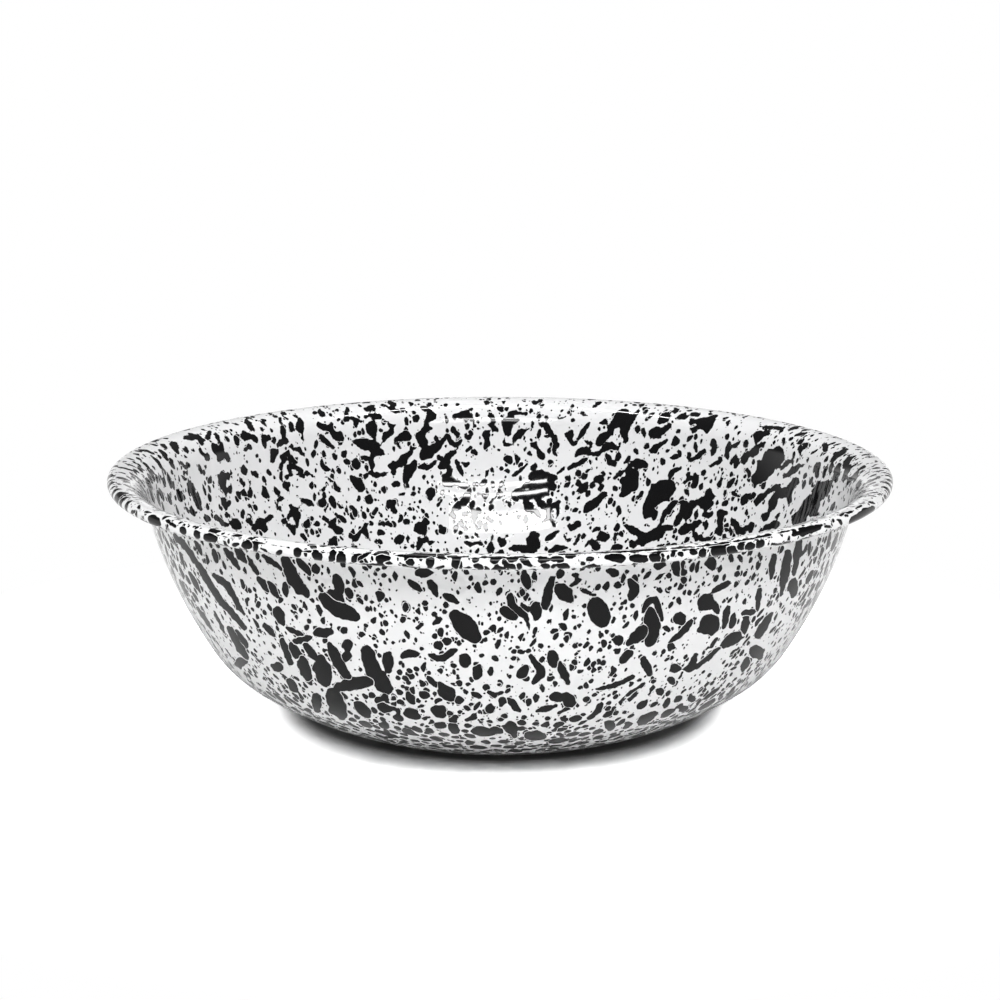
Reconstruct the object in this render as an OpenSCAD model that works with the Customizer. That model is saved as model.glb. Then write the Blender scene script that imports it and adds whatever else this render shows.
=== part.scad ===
// Enamelled steel basin bowl.
// A pressed steel sheet with a rolled edge, glazed all over: a thin ground coat next to the
// steel and a cover coat over it. Each coat has an inside half, from the middle of the base
// to the crest of the rim, and an outside half, which goes on round the roll and over the
// sheet's cut edge. The bowl stands on z = 0, with its round axis on Z, open at the top.

/* [Overall] */
// Outside diameter over the rolled rim
rim_d = 305; // [260:1:360]
// Height from the floor to the top of the rim
overall_h = 100; // [84:1:130]
// Outside diameter of the flat ring that the bowl stands on
base_d = 112; // [90:1:134]

/* [Bowl shape] */
// Radius of the small turn from the standing ring into the bottom
heel_r = 12; // [6:0.5:20]
// Slope of the wall where that turn ends and the wide curve of the bottom starts, in degrees
heel_slope = 15; // [12:1:20]
// Slope of the wall where the wide curve of the bottom ends, in degrees
bottom_slope = 34; // [28:1:40]
// Radius of the tighter turn from the bottom into the side
haunch_r = 47; // [36:1:60]
// Slope of the wall where the tighter turn ends, in degrees
haunch_slope = 57.5; // [50:0.5:64]
// Slope of the wall where the side ends and the flare starts, in degrees
side_slope = 77; // [70:1:86]
// Radius under the outward flare at the top of the side
flare_r = 12; // [8:0.5:16]

/* [Rolled rim] */
// Outside diameter of the rolled bead, with its glaze
bead_d = 5.2; // [4.4:0.1:6.4]
// Gap between the rolled-in edge and the underside of the flare
roll_gap = 0.35; // [0.2:0.05:1.5]

/* [Centre of the base] */
// Height to which the centre of the base is pressed up
rise_h = 1; // [0.5:0.1:2]
// Radius of the two small turns round the pressed-up centre
rise_r = 8; // [5:0.5:12]
// Width of the flat ring that the bowl stands on
ring_w = 10; // [6:1:16]

/* [Sheet and glaze] */
// Thickness of the steel sheet
steel_t = 0.6; // [0.4:0.05:0.8]
// Thickness of the ground coat on each side
ground_t = 0.1; // [0.06:0.01:0.15]
// Thickness of the cover coat on each side
cover_t = 0.15; // [0.1:0.01:0.2]

/* [Hidden] */

// Facets round the bowl's axis
around_facets = 180;
// Turn of the sheet from one point of its section to the next, in degrees, on the wide
// curves, on the small ones and round the bead
wide_step = 3;
small_step = 7.5;
bead_step = 15;

// Distances of each layer's faces, measured in from the outer face of the glaze
out_ground = cover_t;
out_steel = out_ground + ground_t;
in_ground = out_steel + steel_t;
in_cover = in_ground + ground_t;
wall_t = in_cover + cover_t;

// Pressed-up centre: two equal turns, one over the other, take the sheet down to the ring
rise_slope = acos(1 - rise_h / (2 * rise_r));
ring_out = base_d / 2;
ring_in = ring_out - ring_w;
rise_in = ring_in - 2 * rise_r * sin(rise_slope);

// Flare and bead: the flare's crest lies over both centres
bead_r = bead_d / 2;
hollow_r = bead_r - wall_t;
crest = [rim_d / 2 - bead_r, overall_h - wall_t];
flare_c = crest - [0, flare_r];
bead_c = crest - [0, hollow_r];

// From a turn's centre to the sheet below it, where the sheet has this slope
function toward(slope) = [sin(slope), -cos(slope)];

// What a turn of unit radius moves the sheet, out and up, between two slopes
function travel(first, last) = toward(last) - toward(first);

// The wide curve of the bottom and that of the side share out, between them, the way from
// the ring to the crest that the smaller turns leave. Every turn starts with the slope that
// the last one ended with, so this fixes both radii.
left = crest - [ring_out, 0] - heel_r * travel(0, heel_slope)
    - haunch_r * travel(bottom_slope, haunch_slope) + flare_r * travel(side_slope, 0);
bottom_way = travel(heel_slope, bottom_slope);
side_way = travel(haunch_slope, side_slope);
bottom_r = cross2(left, side_way) / cross2(bottom_way, side_way);
side_r = cross2(bottom_way, left) / cross2(bottom_way, side_way);
heel_c = [ring_out, heel_r];
bottom_c = heel_c + (heel_r - bottom_r) * toward(heel_slope);
haunch_c = bottom_c + (bottom_r - haunch_r) * toward(bottom_slope);
side_c = haunch_c + (haunch_r - side_r) * toward(haunch_slope);

// Cross product of two vectors in the plane of the section
function cross2(a, b) = a.x * b.y - a.y * b.x;

// The roll goes on until the glaze on its end comes within the gap of the flare's underside
roll_reach = flare_r - hollow_r;
roll_open = acos(((flare_r - roll_gap) ^ 2 - bead_r ^ 2 - roll_reach ^ 2) / (2 * bead_r * roll_reach));
cover_end = roll_open - 360;
ground_end = cover_end + cover_t / bead_r * 180 / PI;
roll_end = ground_end + ground_t / bead_r * 180 / PI;

// Slopes from first to last in equal steps near the given one, without the first where the
// turn carries on from another
function slopes(first, last, step, joined = true) =
    let (count = ceil(abs(last - first) / step))
    [for (i = [joined ? 1 : 0 : count]) first + (last - first) * i / count];

// Points of a turn whose centre lies above the sheet, at a distance in from the outer face
function turn_up(centre, radius, at_slopes, depth) =
    [for (slope = at_slopes) centre + (radius - depth) * toward(slope)];

// Points of a turn whose centre lies below the sheet, at a distance in from the outer face
function turn_down(centre, radius, at_slopes, depth) =
    [for (slope = at_slopes) centre - (radius + depth) * toward(slope)];

// Section of one face of a layer, from the axis to the crest of the rim
function to_crest(depth) = concat(
    [[0, rise_h + depth]],
    turn_down([rise_in, rise_h - rise_r], rise_r, slopes(0, -rise_slope, small_step, false), depth),
    turn_up([ring_in, rise_r], rise_r, slopes(-rise_slope, 0, small_step), depth),
    turn_up(heel_c, heel_r, slopes(0, heel_slope, small_step, false), depth),
    turn_up(bottom_c, bottom_r, slopes(heel_slope, bottom_slope, wide_step), depth),
    turn_up(haunch_c, haunch_r, slopes(bottom_slope, haunch_slope, wide_step), depth),
    turn_up(side_c, side_r, slopes(haunch_slope, side_slope, wide_step), depth),
    turn_down(flare_c, flare_r, slopes(side_slope, 0, small_step), depth));

// Section of one face of a layer round the roll, on from the crest
function round_roll(depth) = turn_down(bead_c, hollow_r, slopes(0, roll_end, bead_step), depth);

// One point past the roll, at a slope of the sheet and a distance in from the outer face
function past_roll(slope, depth) = turn_down(bead_c, hollow_r, [slope], depth);

// The same points the other way round
function back(points) = [for (i = [len(points) - 1 : -1 : 0]) points[i]];

// Inside half of a coat between two distances in from the outer face
module inside_coat(low, high) {
    rotate_extrude($fn = around_facets) polygon(concat(to_crest(low), back(to_crest(high))));
}

// Outside half of a coat: under the sheet and inside the roll, round the roll from the crest,
// and over the cut edge. It lies between low and high under the sheet and between top_low
// and top_high over it, and over the cut edge between two slopes of the roll.
module outside_coat(low, high, top_low, top_high, edge_in, edge_out) {
    rotate_extrude($fn = around_facets)
        polygon(concat(to_crest(low), round_roll(low), past_roll(edge_out, low),
                       past_roll(edge_out, top_high), back(round_roll(top_high)),
                       past_roll(0, top_high), past_roll(0, top_low), round_roll(top_low),
                       past_roll(edge_in, top_low), past_roll(edge_in, high),
                       back(round_roll(high)), back(to_crest(high))));
}

// Pressed steel sheet with its rolled edge
module steel_bowl() {
    color("dimgray")
        rotate_extrude($fn = around_facets)
            polygon(concat(to_crest(out_steel), round_roll(out_steel),
                           back(round_roll(in_ground)), back(to_crest(in_ground))));
}

// Ground coat inside the bowl, up to the crest of the rim
module ground_coat_inside() {
    color("midnightblue") inside_coat(in_ground, in_cover);
}

// Ground coat outside the bowl, under the base, round the roll and over the cut edge
module ground_coat_outside() {
    color("midnightblue")
        outside_coat(out_ground, out_steel, in_ground, in_cover, roll_end, ground_end);
}

// Cover coat that shows inside the bowl, up to the crest of the rim
module cover_coat_inside() {
    color("whitesmoke") inside_coat(in_cover, wall_t);
}

// Cover coat that shows outside the bowl, under the base and round the roll
module cover_coat_outside() {
    color("whitesmoke") outside_coat(0, out_ground, in_cover, wall_t, ground_end, cover_end);
}

steel_bowl();
ground_coat_inside();
ground_coat_outside();
cover_coat_inside();
cover_coat_outside();
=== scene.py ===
# Enamelled steel basin bowl with black splatter: the glaze skins, their finish, the light and
# the camera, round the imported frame. Lengths are millimetres until a mesh is made.
import math
from typing import NamedTuple

import bpy
import numpy as np
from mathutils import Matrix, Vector


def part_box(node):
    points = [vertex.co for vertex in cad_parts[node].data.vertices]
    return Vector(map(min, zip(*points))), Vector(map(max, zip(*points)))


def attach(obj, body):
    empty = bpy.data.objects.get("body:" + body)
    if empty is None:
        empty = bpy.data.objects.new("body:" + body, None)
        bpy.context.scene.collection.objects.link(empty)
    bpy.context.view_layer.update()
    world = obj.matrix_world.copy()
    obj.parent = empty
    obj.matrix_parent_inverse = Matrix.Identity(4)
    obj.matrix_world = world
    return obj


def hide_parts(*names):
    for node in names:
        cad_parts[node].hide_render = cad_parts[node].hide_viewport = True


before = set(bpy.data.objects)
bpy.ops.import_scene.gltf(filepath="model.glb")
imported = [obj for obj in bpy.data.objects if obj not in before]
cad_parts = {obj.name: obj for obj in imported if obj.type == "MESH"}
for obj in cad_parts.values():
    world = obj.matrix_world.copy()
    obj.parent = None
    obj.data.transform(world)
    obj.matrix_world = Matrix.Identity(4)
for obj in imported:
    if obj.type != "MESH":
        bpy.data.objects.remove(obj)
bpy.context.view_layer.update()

MM = 0.001
FULL_TURN = 2 * math.pi


# Sizes of the bowl, the same as in the part's source

rim_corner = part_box("cover_coat_outside")[1]
RIM_R = round(rim_corner.x / MM, 2)
OVERALL_H = round(rim_corner.z / MM, 2)
BASE_R = 56.0
RING_W = 10.0
RISE_H = 1.0
RISE_R = 8.0
HEEL_R = 12.0
HEEL_SLOPE = 15.0
BOTTOM_SLOPE = 34.0
HAUNCH_R = 47.0
HAUNCH_SLOPE = 57.5
SIDE_SLOPE = 77.0
FLARE_R = 12.0
BEAD_R = 2.6
ROLL_GAP = 0.35
COVER_T = 0.15
GROUND_T = 0.1
STEEL_T = 0.6

# Depths of the glaze's faces, measured in from the outer face
IN_COVER = COVER_T + GROUND_T + STEEL_T + GROUND_T
WALL_T = IN_COVER + COVER_T
HOLLOW_R = BEAD_R - WALL_T

# Slope of the wall at the seam between the skins of the base and those of the wall
SEAM_SLOPE = 45.0


# Section of the bowl

class Turn(NamedTuple):
    """An arc of the sheet. side is 1 where its centre lies above the sheet and -1 below."""
    centre: np.ndarray
    radius: float
    first: float
    last: float
    side: int

    def points(self, slopes, depth):
        return self.centre + (self.side * self.radius - depth) * toward(slopes)


def toward(slopes):
    """Direction in the section from a turn's centre down to the sheet with this slope."""
    angles = np.radians(slopes)
    return np.stack([np.sin(angles), -np.cos(angles)], axis=-1)


def travel(first, last):
    return toward(last) - toward(first)


def bowl_turns():
    """Turns of the base up to the seam, of the wall from the seam to the crest, and the roll."""
    rise_slope = math.degrees(math.acos(1 - RISE_H / (2 * RISE_R)))
    ring_in = BASE_R - RING_W
    rise_in = ring_in - 2 * RISE_R * math.sin(math.radians(rise_slope))
    crest = np.array([RIM_R - BEAD_R, OVERALL_H - WALL_T])
    left = (crest - [BASE_R, 0] - HEEL_R * travel(0, HEEL_SLOPE)
            - HAUNCH_R * travel(BOTTOM_SLOPE, HAUNCH_SLOPE) + FLARE_R * travel(SIDE_SLOPE, 0))
    ways = np.column_stack([travel(HEEL_SLOPE, BOTTOM_SLOPE), travel(HAUNCH_SLOPE, SIDE_SLOPE)])
    bottom_r, side_r = np.linalg.solve(ways, left)
    heel_c = np.array([BASE_R, HEEL_R])
    bottom_c = heel_c + (HEEL_R - bottom_r) * toward(HEEL_SLOPE)
    haunch_c = bottom_c + (bottom_r - HAUNCH_R) * toward(BOTTOM_SLOPE)
    side_c = haunch_c + (HAUNCH_R - side_r) * toward(HAUNCH_SLOPE)
    base = [Turn(np.array([rise_in, RISE_H - RISE_R]), RISE_R, 0, -rise_slope, -1),
            Turn(np.array([ring_in, RISE_R]), RISE_R, -rise_slope, 0, 1),
            Turn(heel_c, HEEL_R, 0, HEEL_SLOPE, 1),
            Turn(bottom_c, bottom_r, HEEL_SLOPE, BOTTOM_SLOPE, 1),
            Turn(haunch_c, HAUNCH_R, BOTTOM_SLOPE, SEAM_SLOPE, 1)]
    wall = [Turn(haunch_c, HAUNCH_R, SEAM_SLOPE, HAUNCH_SLOPE, 1),
            Turn(side_c, side_r, HAUNCH_SLOPE, SIDE_SLOPE, 1),
            Turn(crest - [0, FLARE_R], FLARE_R, SIDE_SLOPE, 0, -1)]
    reach = FLARE_R - HOLLOW_R
    spread = (FLARE_R - ROLL_GAP) ** 2 - BEAD_R ** 2 - reach ** 2
    roll_end = math.degrees(math.acos(spread / (2 * BEAD_R * reach))) - 360
    roll = Turn(crest - [0, HOLLOW_R], HOLLOW_R, 0, roll_end, -1)
    return base, wall, roll


# Farthest that a face turns from one point of its section to the next, in degrees
FINE_TURN = 0.25

base_turns, wall_turns, roll_turn = bowl_turns()


class Face:
    """One face of a glaze skin: radius, height and slope of the sheet along its section."""

    def __init__(self, turns, depth, from_axis=False):
        points = [np.array([[0.0, RISE_H + depth]])] if from_axis else []
        slopes = [np.zeros(1)] if from_axis else []
        for turn in turns:
            at = np.linspace(turn.first, turn.last, int(abs(turn.last - turn.first) / FINE_TURN) + 2)
            points.append(turn.points(at, depth))
            slopes.append(at)
        self.points = np.concatenate(points)
        self.slopes = np.concatenate(slopes)
        steps = np.hypot(*np.diff(self.points, axis=0).T)
        self.way = np.concatenate([[0], np.cumsum(steps)])
        self.length = self.way[-1]

    def at(self, way):
        """Radius, height and slope at distances along the section."""
        return [np.interp(way, self.way, column) for column in (*self.points.T, self.slopes)]

    def place(self, way, share):
        """Points in space at distances along the section and shares of a turn round the axis."""
        radius, height, _ = self.at(way)
        angle = FULL_TURN * np.asarray(share)
        return np.stack([radius * np.cos(angle), radius * np.sin(angle), height + 0 * angle], axis=-1)


# Camera and the photograph's frame

PHOTO_SIZE = 1000
CAMERA_DISTANCE = 1049.2
CAMERA_ELEVATION = 11.8
CAMERA_LENS = 96.4
SENSOR_W = 36.0
# Row of the photograph that shows the middle of the rim
RIM_ROW = 471.3
# Nearest and farthest that the camera sees, in metres
NEAREST_SEEN = 0.01
FARTHEST_SEEN = 100

rim_centre = np.array([0, 0, OVERALL_H - BEAD_R])
elevation = math.radians(CAMERA_ELEVATION)
view_way = np.array([0, math.cos(elevation), -math.sin(elevation)])
view_up = np.array([0, math.sin(elevation), math.cos(elevation)])
focal_px = CAMERA_LENS / SENSOR_W * PHOTO_SIZE


def photo_place(points):
    """Columns and rows of points in the photograph, and how many pixels a millimetre takes."""
    offset = points - rim_centre
    depth = CAMERA_DISTANCE + offset @ view_way
    scale = focal_px / depth
    columns = PHOTO_SIZE / 2 + offset[..., 0] * scale
    rows = RIM_ROW - offset @ view_up * scale
    return np.stack([columns, rows], axis=-1), scale


def make_camera():
    lens = bpy.data.cameras.new("camera")
    lens.lens = CAMERA_LENS
    lens.sensor_width = SENSOR_W
    lens.shift_y = (RIM_ROW - PHOTO_SIZE / 2) / PHOTO_SIZE
    lens.clip_start = NEAREST_SEEN
    lens.clip_end = FARTHEST_SEEN
    camera = bpy.data.objects.new("camera", lens)
    camera.location = Vector((rim_centre - CAMERA_DISTANCE * view_way) * MM)
    camera.rotation_euler = (math.pi / 2 - elevation, 0, 0)
    bpy.context.scene.collection.objects.link(camera)
    bpy.context.scene.camera = camera


make_camera()


# The splatter's largest marks, read from the photograph. Each has a half-width, or its
# first and last half-width, and then columns and rows of the points that it runs through.

OUTSIDE_MARKS = [
    # Middle of the front
    (9.6, 457, 618, 473, 635), (10, 596, 606, 601, 618), (7, 560, 590, 567, 596),
    (4.6, 551, 580, 546, 606), (5, 535, 606, 537, 615),
    ((4.4, 2), 511, 596, 512, 606, 526, 616, 529, 628), (5, 504, 611, 513, 616),
    (3, 408, 581, 420, 590), ((5.5, 2), 431, 584, 437, 596), ((5, 1.5), 447, 596, 461, 604),
    (3.8, 524, 573, 528, 586), (4, 419, 572, 430, 573), (2.3, 581, 589, 594, 596),
    (3.5, 630, 581, 635, 590, 631, 598), (3, 618, 585), (3.8, 560, 574), (3.5, 609, 571, 616, 573),
    (3.5, 531, 657, 543, 673, 534, 682), (4.6, 525, 669, 521, 675), (5.3, 552, 655, 554, 663),
    (4.2, 560, 664, 567, 681), (4.8, 465, 658, 465, 664), (4.3, 479, 668, 476, 676),
    (2.5, 428, 678, 438, 688), (6, 442, 689, 450, 696), (3, 430, 655, 440, 659, 455, 651),
    (3.3, 403, 656, 410, 653, 417, 654), (4.3, 438, 645), (3.6, 447, 641), (6, 382, 678, 387, 689),
    (8, 387, 703), (4, 385, 656, 389, 668), (5, 490, 709), (4, 459, 700), (4, 502, 701),
    (3, 509, 700, 519, 710), (5, 555, 697), (2.3, 537, 711, 556, 706), (6.3, 567, 699, 571, 704),
    (2.3, 559, 712, 577, 705), (3.3, 529, 702), (3.3, 536, 698), (5.3, 618, 640), (2.3, 613, 636),
    (4.2, 630, 653, 623, 660), (7, 511, 728), (4.6, 529, 736, 542, 736),
    (2.5, 601, 704, 597, 712, 589, 718), ((1.5, 2.7), 597, 689, 615, 686, 632, 677),
    (3, 623, 702, 639, 689),
    # Left side
    (3, 176, 536, 188, 550, 204, 574, 217, 596, 236, 617, 244, 628), (3, 214, 576, 226, 584, 244, 614),
    (3, 226, 550, 238, 568), (3.3, 237, 550, 246, 561), (2.6, 247, 557, 258, 573),
    (3, 264, 556, 281, 569), (6, 285, 561, 298, 589), (3.5, 299, 560, 309, 573), (4.5, 316, 570),
    (3.4, 260, 579, 267, 590), (3.4, 269, 583, 277, 596), (2.8, 285, 585, 286, 595),
    (2.8, 301, 584, 307, 595), (4.5, 336, 578, 341, 590), (7, 325, 598, 338, 609, 354, 616),
    (5, 331, 593, 340, 600), (3.5, 348, 591, 350, 595), ((6.5, 2), 278, 612, 283, 625), (3, 281, 600),
    (4.5, 317, 633, 330, 632), (3, 325, 641), (5.5, 301, 660, 308, 676), (8, 321, 663, 325, 679),
    (4.8, 330, 646, 341, 667, 349, 678), (5, 346, 657), (7, 367, 652, 373, 671, 384, 687),
    (6.5, 341, 686, 370, 681), (8.5, 386, 705), (7.5, 332, 695, 341, 713), (4.7, 389, 655, 388, 667),
    (4.6, 381, 596), (3.2, 374, 621), (3, 361, 634), (4, 344, 630), (5, 348, 644),
    (4, 230, 630, 246, 657), (3, 237, 632, 246, 646), (2, 214, 612, 226, 635), (2, 198, 608, 212, 630),
    (3.5, 282, 641, 290, 662), (4, 292, 646, 298, 657), (3.5, 297, 641, 309, 638),
    (2.4, 287, 628, 303, 636), (2.8, 265, 625, 274, 635), (3.5, 305, 644, 314, 657), (5, 278, 667),
    (5, 241, 662), (3.5, 289, 681, 295, 689), (4.5, 316, 697, 317, 708),
    # Right side
    (3, 643, 612, 648, 601, 656, 599, 661, 620), (8, 651, 615, 653, 629), ((5, 7), 630, 642, 645, 629),
    (5.5, 649, 642, 655, 636), (6.7, 680, 618), ((3, 2.4), 691, 621, 684, 632, 670, 642), (4, 671, 646),
    (9, 706, 602), (10.5, 710, 624), (3, 715, 604, 717, 612), ((4, 2), 774, 557, 771, 578),
    ((5, 2), 788, 554, 783, 585, 781, 594), ((5, 2), 799, 543, 794, 575), (4.5, 793, 583, 793, 594),
    ((4, 1.3), 759, 591, 757, 610), (3.5, 728, 608, 724, 626), (3, 734, 615, 731, 626),
    (3, 743, 613, 753, 612), (3.5, 747, 618, 742, 634), (5, 724, 645, 740, 634),
    ((1.6, 3), 724, 645, 704, 661, 696, 668, 681, 669), ((2, 5), 772, 613, 759, 634), (6.5, 756, 652),
    (3, 747, 660, 743, 669), (4.5, 644, 661, 649, 672), (3, 643, 684, 632, 693, 622, 703),
    (4, 659, 692), (3.8, 671, 680), (4.5, 675, 668), (2.6, 737, 574), (2.5, 731, 555, 731, 561),
    ((5.5, 3), 711, 561, 712, 568), (3.8, 676, 564, 677, 573), (3, 683, 572), (5, 659, 565),
    (2.6, 715, 591, 729, 583), (3, 696, 655, 689, 669), (5, 610, 725), (4, 640, 722, 654, 714),
    (3.5, 692, 699), (3, 678, 699),
]

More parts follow.
